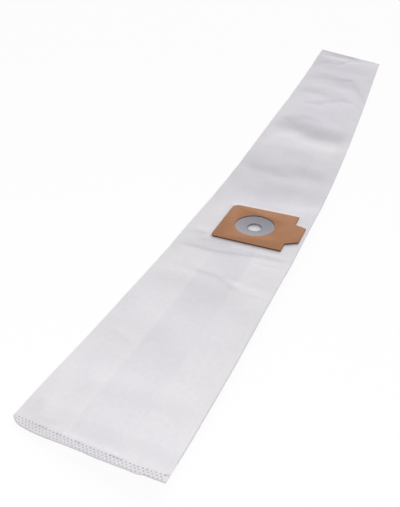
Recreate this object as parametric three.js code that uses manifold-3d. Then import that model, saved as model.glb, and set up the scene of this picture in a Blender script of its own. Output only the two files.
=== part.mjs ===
// A disposable dust bag for an upright vacuum cleaner.
// One long fleece tube, folded flat with a gusset down each side, is welded shut at both ends.
// A card collar and a soft sealing washer sit over the round inlet near one end.
import * as THREE from "three";
import { mergeVertices } from "three/addons/utils/BufferGeometryUtils.js";
import Module from "manifold-3d";

const wasm = await Module();
wasm.setup();

// Flat bag, millimetres
const bagWidth = 150;
const bagLength = 1286;
const leftGusset = 54;
const rightGusset = 47;
const fleece = 0.6;
const layerGap = 0.4;
const foldRound = 1.0;

// Welded ends
const weldLength = 9;
const weldThickness = 1.5;
const weldTaper = 26;
const dotRows = 3;
const dotPitch = 3.7;
const dotRowSpacing = 2.25;
const dotRadius = 0.72;
const dotDepth = 0.45;
const dotSides = 4;
const dotMargin = 2.7;
const weldSink = 1.2;
const weldLap = 0.6;

// Collar, a plate of laminated card
const collarFromEnd = 381.8;
const collarSideways = 9.7;
const collarAcross = 92;
const collarAlong = 88;
const collarThickness = 2.0;
const collarFarCorner = 9.5;
const collarNearCorner = 5;
const tabReach = 15.4;
const tabRoot = 50;
const tabTip = 36;
const tabOffset = -2.3;
const tabTaperShift = 2.8;
const collarRoll = 3.0;
const collarHeading = 1.0;

// Inlet through the collar, the washer and the upper fleece
const inletDiameter = 51.6;
const inletSideways = -1.7;
const inletAlong = 0;
const washerLap = 4.5;
const washerThickness = 0.8;
const washerDish = 2.8;
const washerHole = 19;
const fleeceHoleClearance = 1.4;
const roomBelowWasher = 2.0;

// Flat part of the fleece round the card, and the length over which it eases into the free lie
const flatMargin = 6;
const flatBlend = 50;

// Clearance between pieces that are glued or clamped together
const seat = 0.3;

// How the bag lies on the table, as control values of smooth curves from the near end to the far end
const lift = [8.0, 8.4, 9.1, 13.9, 11.9, 7.8, 13.2, 9.6, 8.0, 9.6, 10.8, 10.0];
const twist = [4.4, 1.7, 7.2, -0.3, -2.2, -0.7, -1.2, -6.0];
const heading = [3.43, 3.24, 0.37, -2.59, -2.56, -1.66];

// Broad creases in the stack: place along and across, turn, half length, half width, rise
const creases = [
  [705, 0, 3, 95, 26, 3.4],
  [535, 10, 3, 80, 26, 1.8],
  [259, 5, -4, 80, 10, -1.1],
];

// Near weld, from left to right: how far it is set back, and what the cut took off its edge
const nearSetback = [1, 0, 0, 0, 0, 0.2, 0.6, 0.9, 1.4, 2.9, 5];
const nearTrim = [5, 0.4, 0.1, 0.4, 0.8, 1, 1, 1.3, 1.2, 1.5, 1];
const setbackFade = 60;

const fleeceColour = 0xdcdade;
const cardColour = 0xaa7c61;
const washerColour = 0x99969e;

const rad = THREE.MathUtils.degToRad;
const clamp = THREE.MathUtils.clamp;
const smooth = (t) => THREE.MathUtils.smootherstep(t, 0, 1);

// Clamped uniform cubic B-spline through control values, t from 0 to 1
function curve(values, t) {
  const n = values.length;
  const knots = [0, 0, 0];
  for (let i = 0; i <= n - 3; i++) knots.push(i / (n - 3));
  knots.push(1, 1, 1);
  let m = 3;
  while (m < n - 1 && t >= knots[m + 1]) m++;
  const d = [0, 1, 2, 3].map((j) => values[j + m - 3]);
  for (let r = 1; r <= 3; r++)
    for (let j = 3; j >= r; j--) {
      const low = knots[j + m - 3];
      const a = (t - low) / (knots[j + 1 + m - r] - low);
      d[j] = (1 - a) * d[j - 1] + a * d[j];
    }
  return d[3];
}

// Centre line of the upper face, stepped along its own length
const lineSteps = 240;
const stepLength = bagLength / lineSteps;
const line = [];
for (let i = 0; i <= lineSteps; i++) {
  const t = i / lineSteps;
  const before = Math.max(0, t - 1 / lineSteps);
  const after = Math.min(1, t + 1 / lineSteps);
  const slope = (curve(lift, after) - curve(lift, before)) / ((after - before) * bagLength);
  const level = Math.sqrt(1 - slope * slope);
  const turn = rad(curve(heading, t));
  const roll = rad(curve(twist, t));
  const tangent = new THREE.Vector3(Math.sin(turn) * level, Math.cos(turn) * level, slope);
  const side = new THREE.Vector3(
    Math.cos(turn) * Math.cos(roll),
    -Math.sin(turn) * Math.cos(roll),
    Math.sin(roll),
  );
  side.addScaledVector(tangent, -side.dot(tangent)).normalize();
  const point = new THREE.Vector3(0, 0, curve(lift, t));
  if (i > 0) {
    const last = line[i - 1];
    point.x = last.point.x + ((last.tangent.x + tangent.x) / 2) * stepLength;
    point.y = last.point.y + ((last.tangent.y + tangent.y) / 2) * stepLength;
  }
  line.push({ point, tangent, side, normal: side.clone().cross(tangent) });
}

function frameAt(s) {
  const at = clamp(s / stepLength, 0, lineSteps);
  const i = Math.min(Math.floor(at), lineSteps - 1);
  const a = line[i];
  const b = line[i + 1];
  const mix = (k) => a[k].clone().lerp(b[k], at - i);
  const tangent = mix("tangent").normalize();
  const point = mix("point").addScaledVector(tangent, s - at * stepLength);
  return { point, tangent, side: mix("side").normalize(), normal: mix("normal").normalize() };
}

// The card is stiff, so the fleece under it is flat
const collarFrame = (() => {
  const turn = rad(collarHeading);
  const roll = rad(collarRoll);
  const tangent = new THREE.Vector3(Math.sin(turn), Math.cos(turn), 0);
  const side = new THREE.Vector3(Math.cos(turn), -Math.sin(turn), 0).multiplyScalar(Math.cos(roll));
  side.z = Math.sin(roll);
  return { point: frameAt(collarFromEnd).point, tangent, side, normal: side.clone().cross(tangent) };
})();
const flatHalf = collarAlong / 2 + flatMargin;

function flatShare(s) {
  return 1 - smooth(clamp((Math.abs(s - collarFromEnd) - flatHalf) / flatBlend, 0, 1));
}

// Columns across the bag where the stack may rise, so that all its layers rise together
const half = bagWidth / 2;
const leftInner = -half + leftGusset;
const rightInner = half - rightGusset;
const leftMid = (-half + leftInner) / 2;
const rightMid = (half + rightInner) / 2;
const centre = (leftInner + rightInner) / 2;
const columns = [-half, leftMid, leftInner, centre, rightInner, rightMid, half];

function riseAt(u, s) {
  let rise = 0;
  for (const [along, across, turn, halfLength, halfWidth, height] of creases) {
    const c = Math.cos(rad(turn));
    const k = Math.sin(rad(turn));
    const p = (u - across) * c + (s - along) * k;
    const q = -(u - across) * k + (s - along) * c;
    rise += height * Math.exp(-((p / halfLength) ** 2) - (q / halfWidth) ** 2);
  }
  return rise * (1 - flatShare(s));
}

function riseBetweenColumns(u, s) {
  let i = 0;
  while (i < columns.length - 2 && u > columns[i + 1]) i++;
  const t = (u - columns[i]) / (columns[i + 1] - columns[i]);
  return riseAt(columns[i], s) * (1 - t) + riseAt(columns[i + 1], s) * t;
}

// Value at u across the bag of a list that runs from its left edge to its right edge
function acrossBag(values, u) {
  const last = values.length - 1;
  const at = clamp(((u + half) / bagWidth) * last, 0, last);
  const i = Math.min(Math.floor(at), last - 1);
  return THREE.MathUtils.lerp(values[i], values[i + 1], at - i);
}

// A point of the bag: u across, t along, depth below the upper face
function place(u, t, depth) {
  const s = t + acrossBag(nearSetback, u) * (1 - smooth(clamp(t / setbackFade, 0, 1)));
  const f = frameAt(s);
  const free = f.point.clone().addScaledVector(f.side, u);
  const flat = collarFrame.point
    .clone()
    .addScaledVector(collarFrame.tangent, s - collarFromEnd)
    .addScaledVector(collarFrame.side, u);
  const share = flatShare(s);
  const up = f.normal.lerp(collarFrame.normal, share).normalize();
  return free.lerp(flat, share).addScaledVector(up, riseBetweenColumns(u, s) - depth);
}

// Closed body through rings of points, with its ends capped
function loft(rings, flatRing) {
  const count = rings[0].length;
  const points = rings.flat().flatMap((p) => [p.x, p.y, p.z]);
  const faces = [];
  for (let i = 0; i < rings.length - 1; i++)
    for (let j = 0; j < count; j++) {
      const a = i * count + j;
      const b = i * count + ((j + 1) % count);
      faces.push(a, b, a + count, b, b + count, a + count);
    }
  const cap = THREE.ShapeUtils.triangulateShape(flatRing, []);
  const last = (rings.length - 1) * count;
  const ringTurn = THREE.ShapeUtils.area(flatRing);
  for (const [a, b, c] of cap) {
    const turn = THREE.ShapeUtils.area([flatRing[a], flatRing[b], flatRing[c]]);
    const [p, q] = turn * ringTurn > 0 ? [b, c] : [c, b];
    faces.push(a, q, p, last + a, last + p, last + q);
  }
  const geometry = new THREE.BufferGeometry();
  geometry.setAttribute("position", new THREE.Float32BufferAttribute(points, 3));
  geometry.setIndex(faces);
  return geometry;
}

function solid(geometry) {
  const plain = geometry.clone();
  plain.deleteAttribute("normal");
  plain.deleteAttribute("uv");
  const merged = mergeVertices(plain, 1e-4);
  const mesh = { numProp: 3 };
  mesh.vertProperties = new Float32Array(merged.attributes.position.array);
  mesh.triVerts = new Uint32Array(merged.index.array);
  return new wasm.Manifold(new wasm.Mesh(mesh));
}

function toGeometry(body) {
  const mesh = body.getMesh();
  const geometry = new THREE.BufferGeometry();
  geometry.setAttribute("position", new THREE.BufferAttribute(mesh.vertProperties, 3));
  geometry.setIndex(new THREE.BufferAttribute(mesh.triVerts, 1));
  geometry.computeVertexNormals();
  return geometry;
}

// Four fleece layers and three gaps: thin in the welds, roomier under the collar
const skin = 0.03;
const pressedGap = 0.06 * weldThickness;
const pressedFleece = (weldThickness - 2 * skin - 3 * pressedGap) / 4;
const chamber = washerDish - seat + roomBelowWasher - fleece;
const collarGap = Math.max(layerGap, (chamber - 2 * fleece) / 3);

function layersAt(s) {
  const fromEnd = Math.min(s, bagLength - s);
  const open = smooth(clamp((fromEnd - weldLength) / weldTaper, 0, 1));
  const gap = THREE.MathUtils.lerp(layerGap, collarGap, flatShare(s));
  const f = THREE.MathUtils.lerp(pressedFleece, fleece, open);
  const g = THREE.MathUtils.lerp(pressedGap, gap, open);
  const levels = [(weldSink + skin) * (1 - open)];
  for (let i = 0; i < 7; i++) levels.push(levels[i] + (i % 2 === 0 ? f : g));
  return levels;
}

// Section of the folded stack seen from the near end, as [across, depth]
function outerRing(s) {
  const z = layersAt(s);
  const edge = half - foldRound;
  const across = [-edge, leftMid, leftInner, centre, rightInner, rightMid, edge];
  const ring = across.map((u) => [u, z[0]]);
  ring.push([half, (z[0] + z[3]) / 2], [edge, z[3]], [rightMid, z[3]], [rightInner, z[3]]);
  ring.push([rightInner, z[4]], [rightMid, z[4]], [edge, z[4]], [half, (z[4] + z[7]) / 2]);
  ring.push(...across.toReversed().map((u) => [u, z[7]]));
  ring.push([-half, (z[4] + z[7]) / 2], [-edge, z[4]], [leftMid, z[4]], [leftInner, z[4]]);
  ring.push([leftInner, z[3]], [leftMid, z[3]], [-edge, z[3]], [-half, (z[0] + z[3]) / 2]);
  return ring;
}

function innerRing(s) {
  const z = layersAt(s);
  const edge = half - foldRound;
  const left = leftInner + fleece;
  const right = rightInner - fleece;
  const across = [-edge, leftMid, left, centre, right, rightMid, edge];
  const ring = across.map((u) => [u, z[1]]);
  ring.push([edge, z[2]], [rightMid, z[2]], [right, z[2]], [right, z[5]], [rightMid, z[5]]);
  ring.push([edge, z[5]]);
  ring.push(...across.toReversed().map((u) => [u, z[6]]));
  ring.push([-edge, z[5]], [leftMid, z[5]], [left, z[5]], [left, z[2]], [leftMid, z[2]]);
  ring.push([-edge, z[2]]);
  return ring;
}

function tube(ringAt, stations) {
  const rings = stations.map((s) => ringAt(s).map(([u, depth]) => place(u, s, depth)));
  const flat = ringAt(stations[0]).map(([u, depth]) => new THREE.Vector2(u, -depth));
  return solid(loft(rings, flat));
}

// Stations along the bag, closer near the welds and where the lie changes
const stationSpacing = 34;
const stations = [weldLength, weldLength + weldTaper * 0.35, weldLength + weldTaper * 0.7];
const firstFull = weldLength + weldTaper;
const fullLength = bagLength - 2 * firstFull;
const fullSteps = Math.round(fullLength / stationSpacing);
for (let i = 0; i <= fullSteps; i++) stations.push(firstFull + (fullLength * i) / fullSteps);
for (const [along, , , , halfWidth] of creases)
  for (const t of [-1.1, -0.55, 0, 0.55, 1.1]) stations.push(along + t * halfWidth);
stations.push(bagLength - weldLength - weldTaper * 0.7, bagLength - weldLength - weldTaper * 0.35);
stations.push(bagLength - weldLength);
stations.sort((a, b) => a - b);
const closest = 5;
for (let i = stations.length - 2; i > 0; i--)
  if (stations[i + 1] - stations[i] < closest) stations.splice(i, 1);
const deep = weldLength * 0.3;
const outside = tube(outerRing, [weldLength - deep, ...stations, bagLength - weldLength + deep]);
const inside = tube(innerRing, [weldLength - 1, ...stations, bagLength - weldLength + 1]);

// A weld is one flat strip with a trimmed outer edge and rows of pressed dots
function edgeAt(u, far) {
  return far ? bagLength : acrossBag(nearTrim, u);
}

function weld(far) {
  const inner = far ? bagLength - weldLength + weldLap : weldLength - weldLap;
  const rings = [];
  const cuts = nearTrim.length - 1;
  for (let i = 0; i <= cuts; i++) {
    const u = (half + skin) * ((2 * i) / cuts - 1);
    const low = Math.min(edgeAt(u, far), inner);
    const high = Math.max(edgeAt(u, far), inner);
    const ring = [[low, 0], [low, weldThickness], [high, weldThickness], [high, 0]];
    rings.push(ring.map(([s, depth]) => place(u, s, weldSink + depth)));
  }
  const flat = [[0, 0], [0, -1], [1, -1], [1, 0]].map(([x, y]) => new THREE.Vector2(x, y));
  return solid(loft(rings, flat));
}

const cone = (() => {
  const above = 0.15;
  const spread = (dotRadius * (dotDepth + above)) / dotDepth;
  const pit = new THREE.ConeGeometry(spread, dotDepth + above, dotSides);
  pit.rotateX(-Math.PI / 2);
  pit.translate(0, 0, above - (dotDepth + above) / 2);
  pit.deleteAttribute("normal");
  pit.deleteAttribute("uv");
  return mergeVertices(pit, 1e-4);
})();

function dots(far) {
  const points = [];
  const faces = [];
  const perRow = Math.floor((bagWidth - 2 * dotPitch) / dotPitch);
  for (let r = 0; r < dotRows; r++)
    for (let i = 0; i < perRow; i++) {
      const u = (i - (perRow - 1) / 2 + (r % 2 ? 0.25 : -0.25)) * dotPitch;
      const fromEnd = dotMargin + r * dotRowSpacing;
      if (!far && fromEnd < acrossBag(nearTrim, u) + dotRadius) continue;
      const s = far ? bagLength - fromEnd : fromEnd;
      const f = frameAt(s);
      const middle = place(u, s, weldSink);
      const turn = new THREE.Matrix4().makeBasis(f.side, f.tangent, f.normal);
      turn.setPosition(middle);
      const first = points.length / 3;
      const placed = cone.clone().applyMatrix4(turn);
      points.push(...placed.attributes.position.array);
      for (const index of placed.index.array) faces.push(first + index);
    }
  const geometry = new THREE.BufferGeometry();
  geometry.setAttribute("position", new THREE.Float32BufferAttribute(points, 3));
  geometry.setIndex(faces);
  return solid(geometry);
}

// Collar, washer and inlet share one frame on the fleece under the card
const inletFrame = new THREE.Matrix4().makeBasis(
  collarFrame.side,
  collarFrame.tangent,
  collarFrame.normal,
);
inletFrame.setPosition(place(collarSideways, collarFromEnd, 0));

function cylinder(radius, low, high, sides) {
  const shape = new THREE.CylinderGeometry(radius, radius, high - low, sides);
  shape.rotateX(Math.PI / 2);
  shape.translate(inletSideways, inletAlong, (low + high) / 2);
  return shape;
}

const inletSides = 48;
const fleeceHole = cylinder(
  inletDiameter / 2 + fleeceHoleClearance,
  -(fleece + collarGap / 2),
  2,
  inletSides,
).applyMatrix4(inletFrame);

const bagBody = outside
  .subtract(inside)
  .add(weld(false))
  .add(weld(true))
  .subtract(dots(false))
  .subtract(dots(true))
  .subtract(solid(fleeceHole));

const filterBag = new THREE.Mesh(
  toGeometry(bagBody),
  new THREE.MeshStandardMaterial({ color: fleeceColour, roughness: 0.95, metalness: 0 }),
);
filterBag.name = "filter_bag";

// Card outline: two rounded corners on the left, square ones and a tapered tab on the right
const outline = new THREE.Shape();
const cardLeft = -collarAcross / 2;
const cardRight = collarAcross / 2;
const cardNear = -collarAlong / 2;
const cardFar = collarAlong / 2;
outline.moveTo(cardLeft + collarNearCorner, cardNear);
outline.lineTo(cardRight, cardNear);
outline.lineTo(cardRight, tabOffset - tabRoot / 2);
outline.lineTo(cardRight + tabReach, tabOffset + tabTaperShift - tabTip / 2);
outline.lineTo(cardRight + tabReach, tabOffset + tabTaperShift + tabTip / 2);
outline.lineTo(cardRight, tabOffset + tabRoot / 2);
outline.lineTo(cardRight, cardFar);
outline.lineTo(cardLeft + collarFarCorner, cardFar);
outline.quadraticCurveTo(cardLeft, cardFar, cardLeft, cardFar - collarFarCorner);
outline.lineTo(cardLeft, cardNear + collarNearCorner);
outline.quadraticCurveTo(cardLeft, cardNear, cardLeft + collarNearCorner, cardNear);

const card = new THREE.ExtrudeGeometry(outline, {
  depth: collarThickness,
  bevelEnabled: false,
  curveSegments: 5,
});
card.translate(0, 0, seat);

// The washer's rim lies in a recess on the underside of the card
const washerRadius = inletDiameter / 2 + washerLap;
const recessTop = seat + washerThickness + seat;
const cardBody = solid(card)
  .subtract(solid(cylinder(inletDiameter / 2, 0, seat + collarThickness + 1, inletSides)))
  .subtract(solid(cylinder(washerRadius + seat, 0, recessTop, inletSides)));

const collar = new THREE.Group();
collar.applyMatrix4(inletFrame);

const collarPlate = new THREE.Mesh(
  toGeometry(cardBody),
  new THREE.MeshStandardMaterial({ color: cardColour, roughness: 0.85, metalness: 0 }),
);
collarPlate.name = "collar_plate";
collar.add(collarPlate);

// Washer: flat rim, then a shallow dish down to a small round hole
const dishStart = inletDiameter / 2 - 0.5;
const holeRadius = washerHole / 2;
const dishSpan = dishStart - holeRadius;
const profile = [];
const dishSteps = 4;
const dropAt = (t) => washerDish * Math.sin((t * Math.PI) / 2) ** 1.2;
profile.push(new THREE.Vector2(washerRadius, 0));
for (let i = 0; i <= dishSteps; i++) {
  const t = i / dishSteps;
  profile.push(new THREE.Vector2(dishStart - dishSpan * t, -dropAt(t)));
}
for (let i = dishSteps; i >= 0; i--) {
  const t = i / dishSteps;
  profile.push(new THREE.Vector2(dishStart - dishSpan * t, washerThickness - dropAt(t)));
}
profile.push(new THREE.Vector2(washerRadius, washerThickness));
profile.push(profile[0].clone());
profile.reverse();
const washerShape = new THREE.LatheGeometry(profile, inletSides);
washerShape.rotateX(Math.PI / 2);
const sealingWasher = new THREE.Mesh(
  washerShape,
  new THREE.MeshStandardMaterial({ color: washerColour, roughness: 0.6, metalness: 0 }),
);
sealingWasher.name = "sealing_washer";
sealingWasher.position.set(inletSideways, inletAlong, seat);
collar.add(sealingWasher);

// Origin: centre of the underside of the whole bag, where it meets the table
const lying = new THREE.Group();
lying.add(filterBag, collar);
lying.updateMatrixWorld(true);
const box = new THREE.Box3().setFromObject(lying, true);
const middle = box.getCenter(new THREE.Vector3());
lying.position.set(-middle.x, -middle.y, -box.min.z);

const dustBag = new THREE.Group();
dustBag.add(lying);

export default dustBag;
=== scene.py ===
# %% [markdown]
# A disposable dust bag for an upright vacuum cleaner, lying flat on a pale table.
# The real bag is one fleece tube. It is folded flat with a gusset down each side and welded shut at
# both ends with rows of small dots. A card collar and a soft washer close round the inlet.
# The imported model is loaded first, so that every new piece is made in its frame, in metres.

import math

import bmesh
import bpy
import numpy as np
from mathutils import Matrix, Vector, noise


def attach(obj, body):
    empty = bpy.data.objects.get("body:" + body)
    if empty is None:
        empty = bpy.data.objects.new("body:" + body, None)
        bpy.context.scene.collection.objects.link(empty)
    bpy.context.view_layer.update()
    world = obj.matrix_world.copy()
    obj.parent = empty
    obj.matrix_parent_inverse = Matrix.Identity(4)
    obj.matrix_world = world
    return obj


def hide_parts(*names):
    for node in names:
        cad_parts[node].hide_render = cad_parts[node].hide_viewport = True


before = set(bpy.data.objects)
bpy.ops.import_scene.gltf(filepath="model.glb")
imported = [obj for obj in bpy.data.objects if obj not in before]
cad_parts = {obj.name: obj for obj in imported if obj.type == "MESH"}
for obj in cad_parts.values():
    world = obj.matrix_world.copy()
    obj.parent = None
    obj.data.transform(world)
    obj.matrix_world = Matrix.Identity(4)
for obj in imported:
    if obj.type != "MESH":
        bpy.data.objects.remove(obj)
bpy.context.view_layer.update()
MM = 0.001

# %% [markdown]
# The bag bows a little sideways, rises, sinks and twists as it lies. A ruler laid on the photo's
# edges gives one centre line with a heading, a height and a twist at each place along it.
# Smooth curves through a few control values say the same as a long table would, and are easier to
# change, so the lie is kept as three short lists.

# %% The size and the lie of the bag
bag_width = 150 * MM
bag_length = 1286 * MM
left_gusset = 54 * MM
right_gusset = 47 * MM
half = bag_width / 2
left_tuck = -half + left_gusset
right_tuck = half - right_gusset
middle = (left_tuck + right_tuck) / 2

lift = [8.0, 8.4, 9.1, 13.9, 11.9, 7.8, 13.2, 9.6, 8.0, 9.6, 10.8, 10.0]
twist = [4.4, 1.7, 7.2, -0.3, -2.2, -0.7, -1.2, -6.0]
heading = [3.43, 3.24, 0.37, -2.59, -2.56, -1.66]
lie_origin = np.array([-5.467, -643.484, 0.526]) * MM


def curve(values, t):
    """A clamped uniform cubic B-spline through control values, t from 0 to 1."""
    n = len(values)
    knots = [0, 0, 0] + [i / (n - 3) for i in range(n - 2)] + [1, 1, 1]
    m = 3
    while m < n - 1 and t >= knots[m + 1]:
        m += 1
    d = [values[j + m - 3] for j in range(4)]
    for r in range(1, 4):
        for j in range(3, r - 1, -1):
            low = knots[j + m - 3]
            a = (t - low) / (knots[j + 1 + m - r] - low)
            d[j] = (1 - a) * d[j - 1] + a * d[j]
    return d[3]


def unit(v):
    """The vectors along the last axis, each made one long."""
    return v / np.linalg.norm(v, axis=-1, keepdims=True)


def smooth(t):
    """0 below 0, 1 above 1, and an even ease between."""
    t = np.clip(t, 0, 1)
    return t * t * t * (t * (6 * t - 15) + 10)


steps = 240
step = bag_length / steps
ts = np.linspace(0, 1, steps + 1)
heights = np.array([curve(lift, t) for t in ts]) * MM
slopes = np.gradient(heights, step)
level = np.sqrt(1 - slopes**2)
turns = np.radians([curve(heading, t) for t in ts])
rolls = np.radians([curve(twist, t) for t in ts])
tangents = np.stack([np.sin(turns) * level, np.cos(turns) * level, slopes], 1)
sides = np.stack([np.cos(turns) * np.cos(rolls), -np.sin(turns) * np.cos(rolls), np.sin(rolls)], 1)
sides = unit(sides - tangents * (sides * tangents).sum(1, keepdims=True))
between = (tangents[1:] + tangents[:-1]) / 2 * step
points = np.vstack([[0, 0, 0], np.cumsum(between, 0)])
points[:, 2] = heights
line = {"point": points, "tangent": tangents, "side": sides, "normal": np.cross(sides, tangents)}
print("centre line ends at", (points[-1] / MM).round(1), "mm")

# %% [markdown]
# The card is stiff, so the fleece under it is flat, and the lie eases into that flat part.
# One function then turns a place on the bag, across, along and below its upper face, into a point.
# Every soft piece is shaped flat on a grid first and then sent through it, the way the real bag is
# made flat and only then laid down.

# %% From a place on the bag to a point
collar_along = 381.8 * MM
flat_half = 50 * MM
flat_blend = 50 * MM
collar_turn = math.radians(1.0)
collar_roll = math.radians(3.0)
collar_tangent = np.array([math.sin(collar_turn), math.cos(collar_turn), 0])
collar_side = np.array([math.cos(collar_turn), -math.sin(collar_turn), 0]) * math.cos(collar_roll)
collar_side[2] = math.sin(collar_roll)
collar_normal = np.cross(collar_side, collar_tangent)

# The near end isn't cut square: how far it is set back, from the left edge to the right edge
near_setback = [1.4, 1.0, 0.4, 0.3, 0.3, 0.5, 0.8, 0.9, 1.4, 2.8, 4.8]
setback_fade = 60 * MM
# The table holds the lower layers up: they follow the valleys less, the deeper they lie in the stack
table_press = 0.15 / (3.6 * MM)
# Broad creases: along, across, turn in degrees, length, width and rise
creases = [
    (535, 10, 3, 80, 26, 0.6),
    (259, 5, -4, 80, 10, -0.5),
]


def frame_at(s):
    """Point, tangent, side and normal of the centre line at the lengths s."""
    at = np.clip(s / step, 0, steps)
    i = np.minimum(at.astype(int), steps - 1)
    mix = (at - i)[..., None]
    f = {k: v[i] * (1 - mix) + v[i + 1] * mix for k, v in line.items()}
    for k in ("tangent", "side", "normal"):
        f[k] = unit(f[k])
    f["point"] = f["point"] + f["tangent"] * (s - at * step)[..., None]
    return f


collar_point = frame_at(np.array(collar_along))["point"]


def flat_share(s):
    """1 under the card, where the fleece is flat, and 0 where it lies free."""
    return 1 - smooth((np.abs(s - collar_along) - flat_half) / flat_blend)


def across_bag(values, u):
    """Value at u of a list in millimetres that runs from the left edge to the right edge."""
    return np.interp(u, np.linspace(-half, half, len(values)), np.array(values) * MM)


def ripple(u, s, scale, seed):
    """Soft noise over the cloth, from -1 to 1, with waves of about that length."""
    spots = zip(np.ravel(u) / scale, np.ravel(s) / scale)
    return np.array([noise.noise((a, b, seed)) for a, b in spots]).reshape(np.shape(u))


def fold_line(u, s, path, height, near, far):
    """A soft ridge along a path of (across, along) millimetres, with its own near and far width."""
    path = np.array(path, float) * MM
    best = np.full(np.shape(u), 1e9)
    facing = np.zeros(np.shape(u))
    for a, b in zip(path[:-1], path[1:]):
        ab = b - a
        t = np.clip(((u - a[0]) * ab[0] + (s - a[1]) * ab[1]) / (ab @ ab), 0, 1)
        dx, dy = u - a[0] - t * ab[0], s - a[1] - t * ab[1]
        d = np.hypot(dx, dy)
        closer = d < best
        best = np.where(closer, d, best)
        facing = np.where(closer, dy / np.maximum(d, 1e-6), facing)
    width = (near + (far - near) * smooth(facing + 0.5)) * MM
    return height * MM * np.exp(-((best / width) ** 2))


# Each fold: its crest or its valley, rise, and width towards the near and the far end
stack_folds = [
    ([(-80, 724), (-60, 736), (-40, 748), (-22, 747), (-6, 733), (10, 726),
      (40, 725), (60, 724), (80, 722)], -8.6, 46, 29),
    ([(-42, 782), (-28, 790), (-16, 798)], -1.5, 22, 12),
    ([(-30, 746), (-10, 744), (8, 738)], -1.5, 30, 24),
    ([(-80, 556), (-45, 552), (-24, 553)], -3.0, 34, 16),
    ([(24, 562), (55, 558), (80, 560)], -3.2, 30, 22),
    ([(-40, 470), (0, 476), (40, 486)], -4.3, 46, 54),
    ([(-80, 336), (-72, 341), (-62, 346), (-46, 346), (-36, 345)], 1.0, 5, 9),
    ([(-58, 311), (-42, 311), (-17, 310), (5, 311.5), (20, 313),
      (32, 316), (52, 317), (80, 316)], -0.85, 10, 3),
    ([(-80, 306), (-50, 308), (-26, 306)], -2.4, 38, 24),
    ([(0, 323), (25, 324), (80, 324)], 0.4, 3, 4),
    ([(38, 302), (76, 301)], -0.4, 4, 2.6),
    ([(-20, 267), (-5, 266), (8, 262), (20, 254), (29, 250)], 0.55, 3.4, 7),
    ([(29, 250), (45, 246), (78, 244)], 0.4, 5, 8),
    ([(-80, 225), (-50, 221), (-28, 222), (0, 210), (26, 208)], -2.2, 38, 24),
    ([(-54, 138), (-32, 131)], 0.5, 6, 4),
    ([(-34, 70), (20, 76), (72, 82)], 1.0, 14, 16),
    ([(-52, 16), (-59, 26), (-66, 42), (-70, 62)], 1.2, 7, 11),
    ([(-80, 960), (-54, 962), (-38, 965)], -1.7, 28, 18),
    ([(-8, 896), (12, 924), (34, 938)], -1.9, 24, 13),
    ([(-30, 1066), (-14, 1060), (4, 1046), (18, 1034)], -2.2, 36, 26),
    ([(24, 1084), (34, 1054), (46, 1020), (56, 992), (68, 960)], -1.9, 26, 8),
    ([(-80, 1142), (-62, 1162), (-47, 1190)], -1.2, 12, 10),
    ([(4, 1236), (-8, 1206), (-12, 1190)], -1.8, 9, 8),
    ([(-36, 1260), (-14, 1259), (10, 1257)], -2.6, 22, 16),
]

# Unevenness of the whole stack: length of its waves, seed and rise
broad_swell = (85 * MM, 3.1, 1.5 * MM)
middle_swell = (34 * MM, 7.7, 0.45 * MM)
fine_swell = (13 * MM, 2.3, 0.07 * MM)

# The side edges lie nearly straight, so the folds ease off towards them
calm_from, calm_over, calm_share = 46 * MM, 29 * MM, 0.85

card_across, card_long, tab_reach = 92 * MM, 88 * MM, 15.4 * MM
card_centre = (9.7 * MM, collar_along)
card_margin, card_ease = 2 * MM, 9 * MM


def under_card(u, s):
    """1 under the card and its tab, where no fold can rise, easing to 0 a little way outside."""
    left = card_centre[0] - card_across / 2 - u
    right = u - card_centre[0] - card_across / 2 - tab_reach
    beyond = np.maximum(np.maximum(left, right), np.abs(s - card_centre[1]) - card_long / 2)
    return 1 - smooth((beyond - card_margin) / card_ease)


def swell(u, s, kind):
    """Soft unevenness of the stack at a place."""
    scale, seed, rise = kind
    return ripple(u, s, scale, seed) * rise


def stack_height(u, s):
    """How far all the layers rise together at a place: broad creases, folds and soft unevenness."""
    broad = swell(u, s, broad_swell)
    for along, across, turn, length, width, height in creases:
        c, k = math.cos(math.radians(turn)), math.sin(math.radians(turn))
        x, y = u - across * MM, s - along * MM
        p, q = x * c + y * k, -x * k + y * c
        broad += height * MM * np.exp(-((p / (length * MM)) ** 2) - (q / (width * MM)) ** 2)
    folds = swell(u, s, middle_swell) + swell(u, s, fine_swell)
    eased = 1 - calm_share * smooth((np.abs(u) - calm_from) / calm_over)
    for path, height, near, far in stack_folds:
        folds += fold_line(u, s, path, height, near, far) * eased
    return broad * (1 - flat_share(s)) + folds * (1 - under_card(u, s))


def place(u, t, depth):
    """Points of the bag: u across, t along, depth below the upper face, in metres."""
    u, t, depth = np.broadcast_arrays(*(np.asarray(x, float) for x in (u, t, depth)))
    s = t + across_bag(near_setback, u) * (1 - smooth(t / setback_fade))
    f = frame_at(s)
    free = f["point"] + f["side"] * u[..., None]
    flat = collar_point + collar_tangent * (s - collar_along)[..., None] + collar_side * u[..., None]
    share = flat_share(s)[..., None]
    up = unit(f["normal"] * (1 - share) + collar_normal * share)
    rise = stack_height(u, s) * (1 - table_press * depth)
    spot = free * (1 - share) + flat * share + up * (rise - depth)[..., None]
    return spot + lie_origin


print("the card lies at", place(*card_centre, 0.0).round(4))

# %% [markdown]
# The camera was worked out from the bag's outline, its corners and the round inlet. It stands low
# at the near end, turned a little to the right, with a slightly tilted frame. It comes before the
# pieces, so that each can be looked at as soon as it is there.

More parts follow.
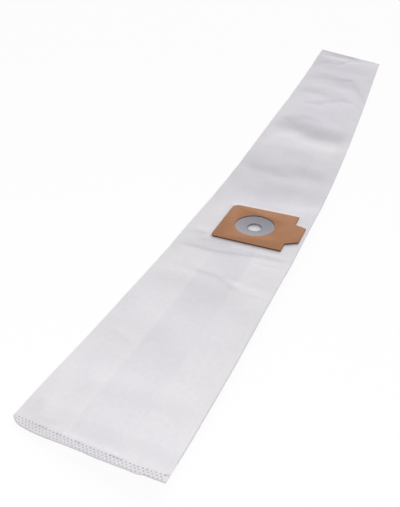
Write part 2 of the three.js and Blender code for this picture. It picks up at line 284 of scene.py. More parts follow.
# %% The camera
focal_px = 561.49
photo_height_px = 507
sensor_mm = 36
azimuth, elevation, tilt = (math.radians(x) for x in (20.358, 34.866, 3.494))
camera_spot = Vector((170.65, -869.97, 399.63)) * MM
forward = Vector((
    -math.sin(azimuth) * math.cos(elevation),
    math.cos(azimuth) * math.cos(elevation),
    -math.sin(elevation),
))
right = Vector((math.cos(azimuth), math.sin(azimuth), 0))
up = right.cross(forward)
right, up = right * math.cos(tilt) + up * math.sin(tilt), up * math.cos(tilt) - right * math.sin(tilt)

lens = bpy.data.cameras.new("camera")
lens.sensor_width = sensor_mm
lens.lens = focal_px * sensor_mm / photo_height_px
lens.clip_start, lens.clip_end = 0.01, 50
camera = bpy.data.objects.new("camera", lens)
bpy.context.scene.collection.objects.link(camera)
pose = Matrix((right, up, -forward)).transposed().to_4x4()
camera.matrix_world = Matrix.Translation(camera_spot) @ pose
bpy.context.scene.camera = camera
print("lens", round(lens.lens, 2), "mm")

# %% [markdown]
# Small helpers come next. Shader nodes are wired by one function, so that a finish reads as a short
# list of what it is made of. Each finish is written in linear colour values.

# %% Helpers for finishes
def node_adder(tree):
    """A function that adds a node to a tree, with its inputs set or wired."""
    def add(kind, inputs=(), **settings):
        node = tree.nodes.new(kind)
        for key, value in settings.items():
            setattr(node, key, value)
        for socket, value in dict(inputs).items():
            target = node.inputs[socket]
            if isinstance(value, bpy.types.NodeSocket):
                tree.links.new(value, target)
            else:
                target.default_value = value
        return node

    return add


def finish_nodes(name):
    """A material with a Principled shader, and functions that add a node and wire one to the shader."""
    material = bpy.data.materials.new(name)
    material.use_nodes = True
    tree = material.node_tree
    shader = tree.nodes["Principled BSDF"]

    def wire(socket, target):
        tree.links.new(socket, shader.inputs[target])

    return material, shader, node_adder(tree), wire


def ramp(add, factor, *stops):
    """A colour ramp through (position, colour) stops."""
    node = add("ShaderNodeValToRGB", {"Fac": factor})
    band = node.color_ramp.elements
    while len(band) < len(stops):
        band.new(1)
    for element, (position, colour) in zip(band, stops):
        element.position = position
        element.color = (*colour, 1)
    return node.outputs["Color"]


def maths(add, operation, a, b=0.0):
    """One Math node, and its value."""
    return add("ShaderNodeMath", {0: a, 1: b}, operation=operation).outputs[0]


def noise_at(add, vector, scale, detail=3.0, roughness=0.55):
    """One Noise Texture, and its value from 0 to 1."""
    inputs = {"Vector": vector, "Scale": scale, "Detail": detail, "Roughness": roughness}
    return add("ShaderNodeTexNoise", inputs).outputs[0]


def mixed(add, factor, a, b, blend="MIX"):
    """One colour mixed with another."""
    node = add("ShaderNodeMix", data_type="RGBA", blend_type=blend)
    for socket, value in ((node.inputs[0], factor), (node.inputs[6], a), (node.inputs[7], b)):
        if isinstance(value, bpy.types.NodeSocket):
            node.id_data.links.new(value, socket)
        else:
            socket.default_value = value if isinstance(value, float) else (*value, 1)
    return node.outputs[2]


# %% [markdown]
# The fleece is a non-woven: short white fibres laid at random and bonded with heat. It has no weave.
# Up close it is felted, with thin and thick clouds a few millimetres across, and it turns greyer and
# flatter where the welds press it to a film. Between the two gussets, where only two layers lie on
# each other, it shows a faint lilac cast. The pattern follows the cloth through its own UV map, which
# holds the place across and along in metres.

# %% The fleece's finish
def fleece_finish():
    material, shader, add, wire = finish_nodes("fleece")
    place_uv = add("ShaderNodeUVMap", uv_map="cloth").outputs[0]
    clouds = noise_at(add, place_uv, 160.0, 4.0, 0.6)
    broad = noise_at(add, place_uv, 18.0, 2.0, 0.5)
    long_way = add("ShaderNodeMapping", {"Vector": place_uv, "Scale": (3.2, 0.8, 1), "Rotation": (0, 0, 0.5)})
    cross_way = add(
        "ShaderNodeMapping", {"Vector": place_uv, "Scale": (0.9, 3.0, 1), "Rotation": (0, 0, 0.35)},
    )
    fibres_a = noise_at(add, long_way.outputs[0], 620.0, 5.0, 0.65)
    fibres_b = noise_at(add, cross_way.outputs[0], 560.0, 5.0, 0.65)
    fibres = maths(add, "MAXIMUM", fibres_a, fibres_b)
    pressed = add("ShaderNodeAttribute", attribute_name="pressed").outputs["Fac"]
    doubled = add("ShaderNodeAttribute", attribute_name="doubled").outputs["Fac"]
    drift = add("ShaderNodeMapping", {"Vector": place_uv, "Location": (0, 0.06, 0), "Scale": (6.0, 5.0, 1)})
    single = maths(add, "SUBTRACT", 1.0, doubled)
    patches = noise_at(add, drift.outputs[0], 1.0, 1.0)
    tint = ramp(add, patches, (0.3, (0.65, 0.65, 0.65)), (0.65, (1.0, 1.0, 1.0)))
    along = add("ShaderNodeSeparateXYZ", {0: place_uv}).outputs[1]
    faded = ramp(
        add, along, (0.06, (0.2, 0.2, 0.2)), (0.17, (1, 1, 1)), (0.40, (1, 1, 1)),
        (0.48, (0.5, 0.5, 0.5)), (0.72, (0.2, 0.2, 0.2)),
    )
    tinted = maths(add, "MULTIPLY", maths(add, "MULTIPLY", single, tint), faded)
    cloth = mixed(add, tinted, (0.800, 0.783, 0.806), (0.754, 0.738, 0.781))
    cloudy = ramp(add, clouds, (0.3, (0.955, 0.955, 0.96)), (0.7, (1.0, 1.0, 1.0)))
    cloth = mixed(add, 1.0, cloth, cloudy, "MULTIPLY")
    uneven = ramp(add, broad, (0.35, (0.975, 0.975, 0.985)), (0.65, (1.0, 1.0, 1.0)))
    cloth = mixed(add, 1.0, cloth, uneven, "MULTIPLY")
    # Painted shade and light along the bag: darker from 0.46 to 0.57 m along, lighter and a touch lilac
    # beyond 0.66 m.
    painted_shade_by_length = ramp(
        add, along, (0.40, (1.0, 1.0, 1.0)), (0.46, (0.945, 0.936, 0.955)), (0.57, (0.945, 0.936, 0.955)),
        (0.66, (1.02, 1.02, 1.02)), (0.80, (1.02, 1.01, 1.045)),
    )
    cloth = mixed(add, 1.0, cloth, painted_shade_by_length, "MULTIPLY")
    # Greyer where the fleece is pressed to film; in the welds' pits this darkening is also painted shade.
    film_and_pit_shade = ramp(add, pressed, (0.0, (1.0, 1.0, 1.0)), (1.0, (0.70, 0.69, 0.705)))
    wire(mixed(add, 1.0, cloth, film_and_pit_shade, "MULTIPLY"), "Base Color")
    rough = ramp(add, pressed, (0.0, (0.93, 0.93, 0.93)), (1.0, (0.55, 0.55, 0.55)))
    wire(rough, "Roughness")
    nap = maths(add, "MULTIPLY", maths(add, "ADD", fibres, clouds), maths(add, "SUBTRACT", 1.0, pressed))
    bump = add("ShaderNodeBump", {"Height": nap, "Strength": 0.35, "Distance": 0.0003})
    wire(bump.outputs[0], "Normal")
    shader.inputs["Specular IOR Level"].default_value = 0.25
    shader.inputs["Sheen Weight"].default_value = 0.12
    shader.inputs["Sheen Roughness"].default_value = 0.6
    return material


fleece = fleece_finish()
print("finish", fleece.name, len(fleece.node_tree.nodes), "nodes")

# %% [markdown]
# The bag's wall is one long sheet, glued into a tube, folded flat and tucked in at both sides. In
# section it is a flattened ring that runs along the underside, round a fold, into a gusset and out
# again, and the same on the other side. A flat grid is sent round that section, and a Solidify
# modifier gives the sheet its thickness, inwards. Towards the welds the layers are pressed thinner.

# %% The section of the folded bag
fleece_thick = 0.6 * MM
layer_gap = 0.4 * MM
weld_length = 9 * MM
weld_thick = 1.0 * MM
weld_taper = 26 * MM
weld_sink = 0.8 * MM
collar_gap = 0.45 * MM
skin = 0.03 * MM
pressed_gap = 0.06 * weld_thick
pressed_fleece = (weld_thick - 2 * skin - 3 * pressed_gap) / 4
# Columns of the upper face stand closer by the gussets' lines and by the side edges
upper_columns, crowd_samples = 72, 900
tuck_crowd, tuck_reach = 3.2, 4 * MM
edge_crowd, edge_reach = 1.6, 6 * MM
edge_bends, tuck_bends = 6, 4


def open_at(s):
    """0 in the welds, where the layers are pressed together, and 1 where they lie loose."""
    return smooth((np.minimum(s, bag_length - s) - weld_length) / weld_taper)


def fleece_at(s):
    """Thickness of one layer: its full one where it lies loose, thinner towards the welds."""
    return pressed_fleece + (fleece_thick - pressed_fleece) * open_at(s)


def layers_at(s):
    """Depths of the eight faces of the four layers, one column per face."""
    open_share, f = open_at(s), fleece_at(s)
    gap = layer_gap + (collar_gap - layer_gap) * flat_share(s)
    g = pressed_gap + (gap - pressed_gap) * open_share
    depths = [(weld_sink + skin) * (1 - open_share)]
    for i in range(7):
        depths.append(depths[-1] + (f if i % 2 == 0 else g))
    return np.stack(depths, -1)


def section(s):
    """Across and depth of each column of the sheet at the lengths s, once round the folded bag."""
    z = layers_at(s).T
    columns = []

    def flat(a, b, face, shares):
        columns.extend((a + (b - a) * share, z[face]) for share in shares)

    def fold(edge, sign, first, last, count):
        radius = (z[last] - z[first]) / 2
        for i in range(1, count):
            angle = math.pi * i / count
            across = edge + sign * (np.abs(radius) * (math.sin(angle) - 1))
            columns.append((across, z[first] + radius * (1 - math.cos(angle))))

    outer_low = (z[7] - z[4]) / 2
    outer_high = (z[3] - z[0]) / 2
    tuck = (z[4] - z[3]) / 2
    few, many = np.linspace(0, 1, 5), np.linspace(0, 1, 9)
    even = np.linspace(-half, half, crowd_samples)
    crowd = 1 + sum(tuck_crowd * np.exp(-(((even - u) / tuck_reach) ** 2)) for u in (left_tuck, right_tuck))
    crowd += edge_crowd * np.exp(-(((np.abs(even) - half) / edge_reach) ** 2))
    share = np.cumsum(crowd) - crowd[0]
    across = np.linspace(0, 1, crowd_samples)
    eased = np.interp(np.linspace(0, 1, upper_columns + 1), share / share[-1], across)
    flat(middle, -half + outer_low, 7, many)
    fold(-half, -1, 7, 4, edge_bends)
    flat(-half + outer_low, left_tuck - tuck, 4, few)
    fold(left_tuck, 1, 4, 3, tuck_bends)
    flat(left_tuck - tuck, -half + outer_high, 3, few)
    fold(-half, -1, 3, 0, edge_bends)
    flat(-half + outer_high, half - outer_high, 0, eased)
    fold(half, 1, 0, 3, edge_bends)
    flat(half - outer_high, right_tuck + tuck, 3, few)
    fold(right_tuck, -1, 3, 4, tuck_bends)
    flat(right_tuck + tuck, half - outer_low, 4, few)
    fold(half, 1, 4, 7, edge_bends)
    flat(half - outer_low, middle, 7, many)
    return np.array([[np.broadcast_to(x, s.shape) for x in c] for c in columns])


def rows_along(stretches):
    """Lengths of the rows, from (start, spacing) stretches in millimetres up to the last start."""
    rows = []
    for (start, spacing), (stop, _) in zip(stretches[:-1], stretches[1:]):
        count = max(1, round((stop - start) / spacing))
        rows.extend(np.linspace(start, stop, count, endpoint=False))
    return np.array([*rows, stretches[-1][0]]) * MM


rows = rows_along([
    (7.5, 1.6), (45, 4.2), (222, 1.9), (350, 4.2), (430, 5.2),
    (640, 3.7), (820, 4.6), (1235, 2.1), (1278.5, 0),
])
ring = section(rows)
print("sheet", ring.shape[0] - 1, "columns by", len(rows) - 1, "rows")

# %% [markdown]
# Each piece starts as a mesh that is edited in memory. The helpers number a grid's vertices, hang
# values and the cloth's own map on them, and make a finished mesh into a piece that rides on the bag.

# %% Helpers for pieces
def grid_numbers(mesh, columns, rows):
    """The column and the row of each vertex of a flat grid."""
    at = np.array([(v.co.x, v.co.y) for v in mesh.verts])
    numbers = np.rint((at + 1) / 2 * (columns, rows)).astype(int)
    return numbers[:, 0], numbers[:, 1]


def flat_grid(columns, rows):
    """A bmesh grid from -1 to 1 both ways."""
    mesh = bmesh.new()
    bmesh.ops.create_grid(mesh, x_segments=columns, y_segments=rows, size=1)
    return mesh


def set_layer(mesh, name, values):
    """A number for each vertex, which a material can read."""
    layer = mesh.verts.layers.float.new(name)
    for vert, value in zip(mesh.verts, values):
        vert[layer] = value


def set_cloth_uv(mesh, across, along):
    """The cloth's own map: across and along, in metres."""
    uv = mesh.loops.layers.uv.new("cloth")
    for face in mesh.faces:
        for loop in face.loops:
            loop[uv].uv = (across[loop.vert.index], along[loop.vert.index])


def as_piece(mesh, name, material, slot, *replaced):
    """A finished mesh as a piece of the object, riding on the bag."""
    data = bpy.data.meshes.new(name)
    mesh.to_mesh(data)
    mesh.free()
    data.materials.append(material)
    data.shade_smooth()
    piece = bpy.data.objects.new(name, data)
    bpy.context.scene.collection.objects.link(piece)
    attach(piece, "root")
    if replaced:
        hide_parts(*replaced)
    return piece


# %% [markdown]
# Only the outer face is drawn here. The first and last columns meet under the bag, where the real
# sheet has its glued seam, and are merged there. The hole under the card is cut by leaving out the
# faces within it and pulling the edge that is left onto the circle.

# %% The upper layer's own shape
# Grooves over the gussets' inner folds: depth in millimetres and half width
left_groove, left_groove_half, left_groove_shift = 0.5, 1.7 * MM, 1.5 * MM
right_groove, right_groove_half = 0.22, 2.6 * MM
# How far the layer sinks between the gussets, in millimetres: all along, and more near the hem
sink_all, sink_near_hem = 0.15, 0.2
hem_reach, hem_fade = 60 * MM, 110 * MM
end_fade = 5 * MM


def between_gussets(u, left_ease, right_ease):
    """1 between the two gussets and 0 over them, with an ease over a width in metres at each."""
    return smooth((u - left_tuck) / left_ease + 0.5) * (1 - smooth((u - right_tuck) / right_ease + 0.5))


def top_height(u, s):
    """How far the top layer alone sinks: a little between the two gussets, and in their grooves."""
    ends = smooth((np.minimum(s, bag_length - s) - weld_length) / end_fade)
    near_hem = np.exp(-np.maximum(s - hem_reach, 0) / hem_fade)
    groove = left_groove * np.exp(-(((u - left_tuck + left_groove_shift) / left_groove_half) ** 2)) * near_hem
    groove += right_groove * np.exp(-(((u - right_tuck) / right_groove_half) ** 2)) * near_hem
    sink = (sink_all + sink_near_hem * near_hem) * between_gussets(u, 4 * MM, 6 * MM)
    return -(sink + groove) * MM * ends * (1 - under_card(u, s))


def doubled_at(u):
    """1 over a gusset, where four layers lie on each other, and 0 between them."""
    return 1 - between_gussets(u, 6 * MM, 9 * MM)


hem_sink = -float(top_height(np.array(middle), np.array(hem_reach)))
print("the upper layer sinks", round(hem_sink / MM, 2), "mm near the hem")


# %% The bag's sheet, cut
inlet_across = 8.0 * MM
inlet_along = collar_along
fleece_hole = 27.2 * MM
hole_reach = 1.2 * fleece_hole
touching = 1e-7
last_column, last_row = ring.shape[0] - 1, len(rows) - 1


def flat_places(column, row):
    """Across, depth and along of vertices before the bag is laid down, and which are on top."""
    u, depth, s = ring[column, 0, row], ring[column, 1, row], rows[row]
    return u, depth, s, np.abs(depth - layers_at(s)[:, 0]) < touching


mesh = flat_grid(last_column, last_row)
u, depth, s, on_top = flat_places(*grid_numbers(mesh, last_column, last_row))
inside = on_top & (np.hypot(u - inlet_across, s - inlet_along) < fleece_hole)
for vert, cut in zip(mesh.verts, inside):
    vert.tag = bool(cut)
bmesh.ops.delete(mesh, geom=[f for f in mesh.faces if all(v.tag for v in f.verts)], context="FACES")
mesh.verts.index_update()

column, row = grid_numbers(mesh, last_column, last_row)
u, depth, s, on_top = flat_places(column, row)
for i, vert in enumerate(mesh.verts):
    from_inlet = math.hypot(u[i] - inlet_across, s[i] - inlet_along)
    if on_top[i] and vert.is_boundary and from_inlet < hole_reach:
        u[i] = inlet_across + (u[i] - inlet_across) * fleece_hole / from_inlet
        s[i] = inlet_along + (s[i] - inlet_along) * fleece_hole / from_inlet
print("the hole leaves", len(mesh.faces), "faces of the sheet")

# %% The bag's sheet, laid down
column_spread = 3.5 * MM
# The modifier's wall is a little thinner than the fleece, so that the layers stay clear of each other
wall_thick = 0.55 * MM
hem_gloss, gloss_fade = 0.1, 2 * MM
depth = depth - np.where(on_top, top_height(u, s), 0)
from_end = np.minimum(s, bag_length - s)
pressed = hem_gloss * (1 - smooth((from_end - weld_length) / gloss_fade))
set_layer(mesh, "pressed", pressed)
set_layer(mesh, "doubled", np.where(on_top, doubled_at(u), 1))
set_cloth_uv(mesh, column * column_spread, s)
walls = mesh.verts.layers.deform.verify()
spots = place(u, s, depth)
for vert, spot, wall_share in zip(mesh.verts, spots, fleece_at(s) / fleece_thick):
    vert.co = spot
    vert[walls][0] = wall_share
seam = [v for v, c in zip(mesh.verts, column) if c in (0, last_column)]
bmesh.ops.remove_doubles(mesh, verts=seam, dist=0.01 * MM)
bag = as_piece(mesh, "fleece_bag", fleece, "fleece", "filter_bag")
wall = bag.modifiers.new("sheet thickness", "SOLIDIFY")
wall.thickness = wall_thick
wall.vertex_group = bag.vertex_groups.new(name="wall").name
wall.offset = -1
wall.use_even_offset = False
triangles = 4 * len(bag.data.polygons)
print("sheet", len(bag.data.vertices), "vertices,", triangles, "triangles with its thickness")

# %% [markdown]
# Both ends are welded: the four layers are pressed to one flat strip between heated bars, which
# leave three staggered rows of small round pits. The pits have to be real, because light and shadow
# show them, so the strip has its own fine grid. The near end was cut a little unevenly and its left
# corner is clipped.

# %% The welded ends
dot_pitch = 3.7 * MM
dot_rows = [2.7 * MM, 4.95 * MM, 7.2 * MM]
dot_radius = 0.86 * MM
dot_depth = 0.5 * MM
dot_floor = 0.35
strip_columns, strip_lines = 330, 20
under_sheet = 0.2 * MM
border_from, border_over = 7.9 * MM, 1.0 * MM
pucker_height = 0.04 * MM
ply_height, ply_wave = 0.12 * MM, 11 * MM
bare_margin = 2.5 * MM
cut_round, cut_reach = 0.25 * MM, 0.9 * MM
near_cut = (
    (-75, 6.2), (-72, 3.9), (-68, 1.8), (-63, 0.5), (-52, 0.1), (-45, 0.1), (-30, 0.7), (-15, 1.4),
    (0, 1.5), (15, 1.0), (30, 1.4), (45, 1.6), (52, 1.2), (56, 2.4), (62, 1.9), (75, 1.0),
)


def pits(u, t):
    """How deep the pressed dots go at a place of the strip, from 0 to 1."""
    deep = np.zeros(np.shape(u))
    for i, along in enumerate(dot_rows):
        shift = dot_pitch * (0.25 if i % 2 else -0.25)
        across = (u - shift + dot_pitch / 2) / dot_pitch
        dx = (across - np.rint(across)) * dot_pitch
        d = np.hypot(dx, t - along) / dot_radius
        deep = np.maximum(deep, 1 - smooth((d - dot_floor) / (1 - dot_floor)))
    return deep * (np.abs(u) < half - bare_margin)


def weld(name, far):
    """One welded end: a fine strip with pits in its upper face and a flat lower one."""
    mesh = flat_grid(strip_columns, strip_lines)
    made = bmesh.ops.extrude_face_region(mesh, geom=mesh.faces[:])
    for item in made["geom"]:
        if isinstance(item, bmesh.types.BMVert):
            item.co.z = -1
    mesh.verts.index_update()
    co = np.array([v.co[:] for v in mesh.verts])
    u = co[:, 0] * (half + 0.02 * MM)
    cut = np.zeros(len(u)) if far else np.interp(u / MM, *zip(*near_cut)) * MM
    inner = weld_length - under_sheet
    share = (co[:, 1] + 1) / 2
    t = cut + (inner - cut) * share
    under = co[:, 2] < -0.5
    deep = np.where(under, 0, pits(u, t))
    border = smooth((t - border_from) / border_over)
    pucker = pucker_height * border * np.cos((u / dot_pitch + 0.25) * 2 * math.pi)
    edge_round = cut_round * (1 - smooth((t - cut) / cut_reach))
    ply = ripple(u, t, ply_wave, 5.5) * ply_height
    depth = weld_sink + np.where(under, weld_thick, deep * dot_depth - pucker + edge_round + ply)
    along = bag_length - t if far else t
    # Greyer pressed film over the strip, and in the pits also painted shade: the deeper the pit, the darker.
    set_layer(mesh, "pressed", np.where(under, 0.3, 0.22 + 0.78 * deep))
    set_layer(mesh, "doubled", np.ones(len(u)))
    set_cloth_uv(mesh, u, along)
    for vert, spot in zip(mesh.verts, place(u, along, depth)):
        vert.co = spot
    bmesh.ops.recalc_face_normals(mesh, faces=mesh.faces[:])
    return as_piece(mesh, name, fleece, "fleece")


near_weld = weld("near_weld", far=False)
far_weld = weld("far_weld", far=True)
print("welds", len(near_weld.data.polygons), "faces each")

# %% [markdown]
# The collar is a plate of brown card, die cut, with a tab on its right and two rounded corners on
# its left. On the real bag it is glued to the fleece round the inlet. It is drawn as an outline
# that is filled with a round hole left in it, and its faces are joined down to the underside, where
# a wider recess holds the washer's rim. Narrow bevels give the cut edges their soft line.

# %% The card's finish
def card_finish():
    material, shader, add, wire = finish_nodes("card")
    here = add("ShaderNodeTexCoord").outputs["Object"]
    grain = add("ShaderNodeMapping", {"Vector": here, "Scale": (1.0, 0.22, 1.0), "Rotation": (0, 0, -0.03)})
    fibres = noise_at(add, grain.outputs[0], 900.0, 5.0, 0.6)
    specks = noise_at(add, here, 2200.0, 2.0, 0.5)
    clouds = noise_at(add, here, 60.0, 3.0, 0.55)
    up_share = add("ShaderNodeSeparateXYZ", {0: add("ShaderNodeNewGeometry").outputs["Normal"]}).outputs[2]
    face = ramp(add, fibres, (0.3, (0.408, 0.197, 0.104)), (0.7, (0.450, 0.224, 0.122)))
    cloudy = ramp(add, clouds, (0.3, (0.95, 0.95, 0.94)), (0.7, (1.03, 1.03, 1.03)))
    face = mixed(add, 1.0, face, cloudy, "MULTIPLY")
    specked = ramp(add, specks, (0.28, (0.80, 0.78, 0.76)), (0.4, (1.0, 1.0, 1.0)))
    face = mixed(add, 1.0, face, specked, "MULTIPLY")
    squeezed = add("ShaderNodeMapping", {"Vector": here, "Scale": (0.05, 0.05, 6.0)})
    plies = noise_at(add, squeezed.outputs[0], 700.0)
    edge = ramp(add, plies, (0.35, (0.12, 0.055, 0.032)), (0.65, (0.19, 0.09, 0.05)))
    wire(mixed(add, maths(add, "GREATER_THAN", up_share, 0.8), edge, face), "Base Color")
    wire(ramp(add, fibres, (0.3, (0.78, 0.78, 0.78)), (0.7, (0.9, 0.9, 0.9))), "Roughness")
    bump = add("ShaderNodeBump", {"Height": fibres, "Strength": 0.25, "Distance": 0.0001})
    wire(bump.outputs[0], "Normal")
    shader.inputs["Specular IOR Level"].default_value = 0.1
    return material


card = card_finish()
print("finish", card.name, len(card.node_tree.nodes), "nodes")

# %% The card collar
card_thick = 2.0 * MM
tab_root, tab_tip = 50 * MM, 36 * MM
tab_middle, tab_tip_shift = -2.3 * MM, 2.8 * MM
far_corner, near_corner = 9.5 * MM, 5 * MM
hole_radius, rim_radius = 25.8 * MM, 30.6 * MM
seat = 0.3 * MM
washer_thick, washer_dish = 0.8 * MM, 1.7 * MM
recess = seat + washer_thick + seat
edge_bevel = 0.22 * MM


def on_card(mesh):
    """Moves a mesh made round the card's centre to the card's place on the bag."""
    basis = Matrix((collar_side, collar_tangent, collar_normal)).transposed().to_4x4()
    spot = place(card_centre[0], card_centre[1], 0.0)
    bmesh.ops.transform(mesh, matrix=Matrix.Translation(spot) @ basis, verts=mesh.verts)


def loop_of(mesh, corners, z):
    """A closed loop of edges through the corners at one height."""
    verts = [mesh.verts.new((x, y, z)) for x, y in corners]
    return [mesh.edges.new((verts[i - 1], verts[i])) for i in range(len(verts))]


def rounded(x, y, radius, start):
    """Points of a corner whose round ends at (x, y), from the angle start through a quarter turn."""
    angles = [math.radians(start + 90 * i / 10) for i in range(11)]
    return [(x + radius * math.cos(a), y + radius * math.sin(a)) for a in angles]


def circle(radius, sides=96):
    """Points of a circle round the inlet, in the card's own coordinates."""
    centre = (inlet_across - card_centre[0], inlet_along - card_centre[1])
    angles = [2 * math.pi * i / sides for i in range(sides)]
    return [(centre[0] + radius * math.cos(a), centre[1] + radius * math.sin(a)) for a in angles]


x0, x1, y0, y1 = -card_across / 2, card_across / 2, -card_long / 2, card_long / 2
outline = [
    (x1, y0), (x1, tab_middle - tab_root / 2),
    (x1 + tab_reach, tab_middle + tab_tip_shift - tab_tip / 2),
    (x1 + tab_reach, tab_middle + tab_tip_shift + tab_tip / 2),
    (x1, tab_middle + tab_root / 2), (x1, y1),
    *rounded(x0 + far_corner, y1 - far_corner, far_corner, 90),
    *rounded(x0 + near_corner, y0 + near_corner, near_corner, 180),
]
mesh = bmesh.new()
low, high = seat, seat + card_thick
outer = {z: loop_of(mesh, outline, z) for z in (low, high)}
inner = {z: loop_of(mesh, circle(r), z) for z, r in ((high, hole_radius), (low, rim_radius))}
ceiling = {r: loop_of(mesh, circle(r), recess) for r in (hole_radius, rim_radius)}
for z in (low, high):
    bmesh.ops.triangle_fill(mesh, use_beauty=True, use_dissolve=True, edges=outer[z] + inner[z])
for a, b in (
    (outer[low], outer[high]),
    (inner[high], ceiling[hole_radius]),
    (ceiling[hole_radius], ceiling[rim_radius]),
    (ceiling[rim_radius], inner[low]),
):
    bmesh.ops.bridge_loops(mesh, edges=a + b)
bmesh.ops.recalc_face_normals(mesh, faces=mesh.faces[:])
sharp = [e for e in mesh.edges if len(e.link_faces) == 2 and e.calc_face_angle() > math.radians(50)]
bmesh.ops.bevel(
    mesh, geom=sharp, offset=edge_bevel, affect="EDGES",
    segments=2, profile=0.5, material=-1, clamp_overlap=True,
)
on_card(mesh)
collar = as_piece(mesh, "card_collar", card, "card", "collar_plate")
collar.data.set_sharp_from_angle(angle=math.radians(40))
print("card", len(collar.data.polygons), "faces")

# %% [markdown]
# The washer is soft grey rubber. Its rim is clamped under the card, and it dishes down to a small
# round hole with a rolled lip, which grips the hose stub. Such a turned shape is one profile spun
# round its axis. Its colour is painted lighter on the flat ring and darker towards the lip, as
# painted light on the rim and painted shade down the dish.

# %% The washer's finish
def washer_finish():
    material, shader, add, wire = finish_nodes("washer")
    here = add("ShaderNodeTexCoord").outputs["Object"]
    radial = add("ShaderNodeAttribute", attribute_name="radius").outputs["Fac"]
    fine = noise_at(add, here, 1500.0, 4.0, 0.6)
    clouds = noise_at(add, here, 120.0, 3.0, 0.5)
    # Painted shade and light by radius: darker down the dish towards the lip, lighter on the flat outer ring.
    rubber = ramp(
        add, radial,
        (0.0, (0.300, 0.290, 0.325)), (0.15, (0.315, 0.305, 0.345)), (0.8, (0.328, 0.320, 0.360)),
        (0.93, (0.375, 0.36, 0.395)), (1.0, (0.40, 0.38, 0.40)),
    )
    cloudy = ramp(add, clouds, (0.3, (0.95, 0.95, 0.95)), (0.7, (1.03, 1.03, 1.03)))
    rubber = mixed(add, 1.0, rubber, cloudy, "MULTIPLY")
    grainy = ramp(add, fine, (0.35, (0.93, 0.93, 0.93)), (0.65, (1.0, 1.0, 1.0)))
    rubber = mixed(add, 1.0, rubber, grainy, "MULTIPLY")
    wire(rubber, "Base Color")
    wire(ramp(add, fine, (0.3, (0.55, 0.55, 0.55)), (0.7, (0.7, 0.7, 0.7))), "Roughness")
    bump = add("ShaderNodeBump", {"Height": fine, "Strength": 0.2, "Distance": 0.0001})
    wire(bump.outputs[0], "Normal")
    shader.inputs["Specular IOR Level"].default_value = 0.15
    return material


washer_rubber = washer_finish()
print("finish", washer_rubber.name, len(washer_rubber.node_tree.nodes), "nodes")

# %% The sealing washer
rim, dish_start, lip = 30.3 * MM, 25.3 * MM, 9.5 * MM
rim_soft, lip_soft, lip_rise = 0.2 * MM, 0.25 * MM, 0.12 * MM


def drop(r):
    """How far the washer's dish is below its rim at a radius."""
    share = min(max((dish_start - r) / (dish_start - lip), 0), 1)
    return washer_dish * math.sin(share * math.pi / 2) ** 1.2


mesh = bmesh.new()
radii = [lip + (dish_start - lip) * i / 18 for i in range(1, 19)]
lower = [(lip + lip_soft, -drop(lip)), *[(r, -drop(r)) for r in radii], (rim - rim_soft, 0)]
upper = [(r, washer_thick - drop(r)) for r in radii]
lip_top = -drop(lip) + washer_thick + lip_rise
profile = [
    *lower, (rim, rim_soft), (rim, washer_thick - rim_soft), (rim - rim_soft, washer_thick), *reversed(upper),
    (lip + 0.6 * MM, lip_top), (lip + 0.2 * MM, lip_top - 0.05 * MM), (lip, lip_top - 0.3 * MM),
    (lip, -drop(lip) + lip_soft),
]
verts = [mesh.verts.new((r, 0, seat + z)) for r, z in profile]
edges = [mesh.edges.new((verts[i - 1], verts[i])) for i in range(len(verts))]
bmesh.ops.spin(
    mesh, geom=verts + edges, cent=(0, 0, 0), axis=(0, 0, 1), angle=2 * math.pi, steps=96, use_merge=True,
)
bmesh.ops.recalc_face_normals(mesh, faces=mesh.faces[:])
set_layer(mesh, "radius", [(math.hypot(v.co.x, v.co.y) - lip) / (hole_radius - lip) for v in mesh.verts])
shift = Vector((inlet_across - card_centre[0], inlet_along - card_centre[1], 0))
bmesh.ops.translate(mesh, vec=shift, verts=mesh.verts)
on_card(mesh)
washer = as_piece(mesh, "rubber_washer", washer_rubber, "washer", "sealing_washer")
washer.data.set_sharp_from_angle(angle=math.radians(50))
print("washer", len(washer.data.polygons), "faces")

# %% [markdown]
# The photo's broad dark bands are slopes that face the near end, so its main light comes low from
# the far end. It is wide and soft, like a window. A smaller soft lamp over the near end lifts the hem,
# and pale light comes from all round. The camera sees the table as white, and only a faint share of its
# lit surface is left in, which keeps the bag's soft shadow.

# %% The floor
shadow_share = 0.08
mesh = bmesh.new()
bmesh.ops.create_grid(mesh, x_segments=4, y_segments=4, size=7)
data = bpy.data.meshes.new("floor")
mesh.to_mesh(data)
mesh.free()
floor = bpy.data.objects.new("floor", data)
bpy.context.scene.collection.objects.link(floor)

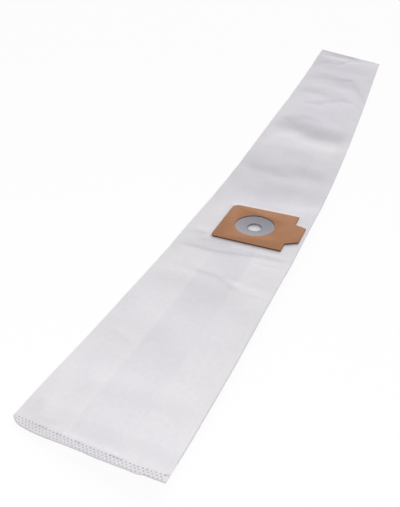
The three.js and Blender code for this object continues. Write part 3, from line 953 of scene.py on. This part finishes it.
table, shader, add, _ = finish_nodes("white_table")
shader.inputs["Base Color"].default_value = (0.97, 0.97, 0.97, 1)
shader.inputs["Roughness"].default_value = 0.9
shader.inputs["Specular IOR Level"].default_value = 0.1
glow = add("ShaderNodeEmission", {"Color": (1, 1, 1, 1), "Strength": 1})
ray = add("ShaderNodeLightPath").outputs
seen = maths(add, "MULTIPLY", ray["Is Camera Ray"], 1 - shadow_share)
mix = add("ShaderNodeMixShader", {0: seen, 1: shader.outputs[0], 2: glow.outputs[0]})
tree = table.node_tree
tree.links.new(mix.outputs[0], tree.nodes["Material Output"].inputs["Surface"])
data.materials.append(table)
print("the floor keeps", shadow_share, "of its light and shadow")

# %% The world
world = bpy.data.worlds.new("white_room")
bpy.context.scene.world = world
world.use_nodes = True
tree = world.node_tree
add = node_adder(tree)
sky = tree.nodes["Background"]
sky.inputs["Color"].default_value = (1, 1, 1, 1)
sky.inputs["Strength"].default_value = 0.32
white = add("ShaderNodeBackground", {"Color": (1, 1, 1, 1), "Strength": 1})
ray = add("ShaderNodeLightPath").outputs
direct = maths(add, "MAXIMUM", ray["Is Camera Ray"], ray["Is Glossy Ray"])
direct = maths(add, "MAXIMUM", direct, ray["Is Transmission Ray"])
mix = add("ShaderNodeMixShader", {0: direct, 1: sky.outputs[0], 2: white.outputs[0]})
tree.links.new(mix.outputs[0], tree.nodes["World Output"].inputs["Surface"])
print("the world lights the bag with", round(sky.inputs["Strength"].default_value, 2))


# %% The lamps
def add_lamp(name, kind, spot, energy, **settings):
    """A lamp at a spot, turned towards the middle of the bag."""
    lamp = bpy.data.lights.new(name, kind)
    lamp.energy = energy
    for key, value in settings.items():
        setattr(lamp, key, value)
    holder = bpy.data.objects.new(name, lamp)
    bpy.context.scene.collection.objects.link(holder)
    holder.location = spot
    holder.rotation_euler = (-Vector(spot)).to_track_quat("-Z", "Y").to_euler()


add_lamp("window", "SUN", (0.0, 4.0, 1.8), 2.85, angle=math.radians(60))
add_lamp("softbox", "AREA", (0.2, -1.1, 0.8), 4.4, shape="DISK", size=0.8)

bpy.context.scene.view_settings.view_transform = "Standard"
print("lamps", [light.name for light in bpy.data.lights])
